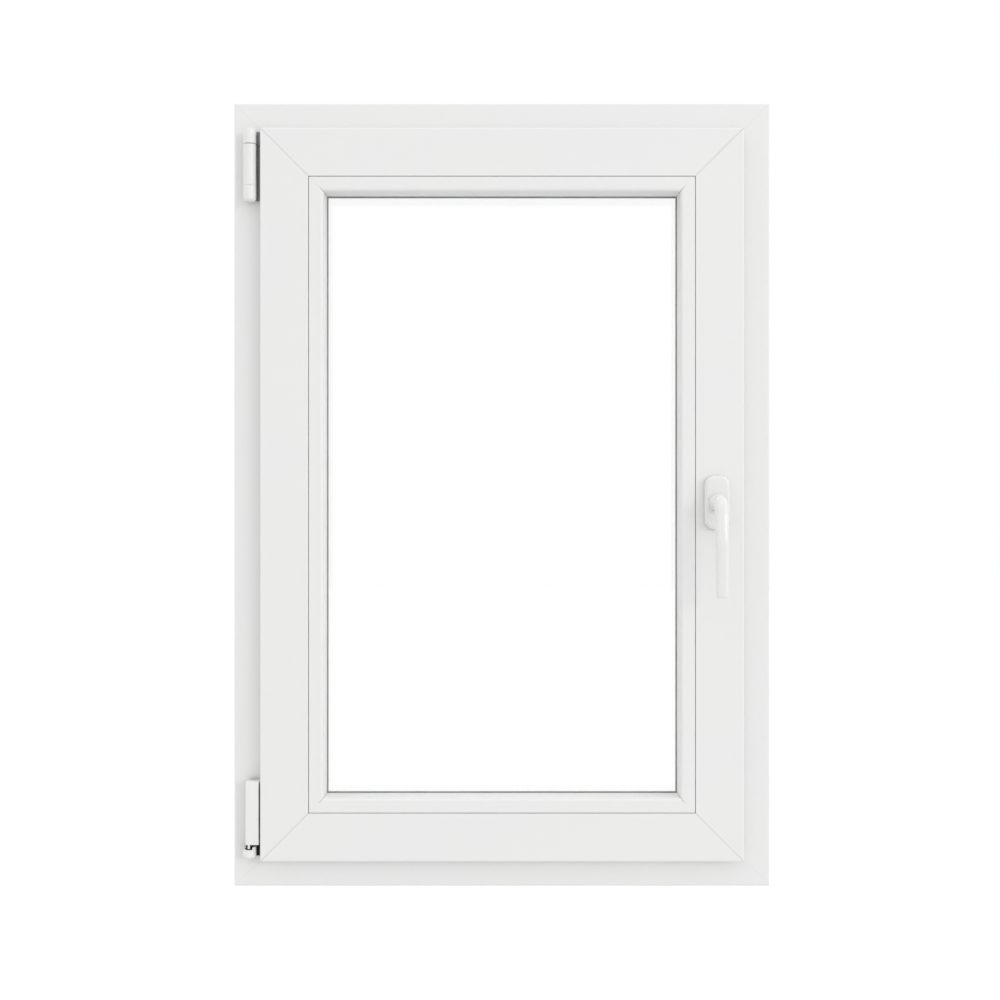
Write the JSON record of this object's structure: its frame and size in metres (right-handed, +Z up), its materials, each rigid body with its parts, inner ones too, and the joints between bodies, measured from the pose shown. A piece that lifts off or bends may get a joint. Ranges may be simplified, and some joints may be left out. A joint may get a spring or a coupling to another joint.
{
  "type": "tilt and turn window",
  "caption": "White plastic tilt and turn window with a clear sealed glass unit, hinges on the left and a turning lever handle on the right, closed.",
  "frame": {"origin": "middle of the flat underside of the frame's sill, half way through the frame's depth", "axes": "+X right as seen from the room, +Y towards outdoors, +Z up"},
  "size_m": [0.65, 0.1445, 0.95],
  "materials": {
    "white_pvc": "smooth white extruded rigid PVC, satin gloss",
    "white_caps": "white moulded plastic covers, satin",
    "handle_coat": "white powder coat on cast aluminium",
    "steel": "zinc plated steel",
    "seal_rubber": "grey extruded rubber seal",
    "clear_glass": "clear float glass",
    "spacer_bar": "mill finish aluminium spacer"
  },
  "bodies": {
    "window": {"frame_sill": "white_pvc", "frame_head": "white_pvc", "frame_jamb_left": "white_pvc", "frame_jamb_right": "white_pvc", "sash_bottom_rail": "white_pvc", "sash_top_rail": "white_pvc", "sash_stile_left": "white_pvc", "sash_stile_right": "white_pvc", "bead_bottom": "white_pvc", "bead_top": "white_pvc", "bead_left": "white_pvc", "bead_right": "white_pvc", "top_hinge_knuckle": "white_caps", "top_hinge_bearing": "white_caps", "top_hinge_cap": "white_caps", "bottom_hinge_bearing": "white_caps", "bottom_hinge_cover": "white_caps", "drain_cap_left": "white_caps", "drain_cap_right": "white_caps", "top_hinge_arm": "steel", "top_hinge_plate": "steel", "top_hinge_pin": "steel", "bottom_hinge_plate": "steel", "bottom_hinge_pin": "steel", "bottom_hinge_leaf": "steel", "gasket_glass_room": "seal_rubber", "gasket_glass_outer": "seal_rubber", "gasket_frame_stop": "seal_rubber", "gasket_sash_lip": "seal_rubber", "glass_room_pane": "clear_glass", "glass_outer_pane": "clear_glass", "glass_spacer": "spacer_bar", "handle_rosette": "handle_coat"},
    "handle": {"handle_lever": "handle_coat"}
  },
  "joints": [
    {"name": "handle_turn", "type": "hinge", "parent": "window", "child": "handle", "pos_m": [0.2573, -0.0655, 0.4656], "axis": [0, 1, 0], "range_deg": [0, 180]}
  ]
}
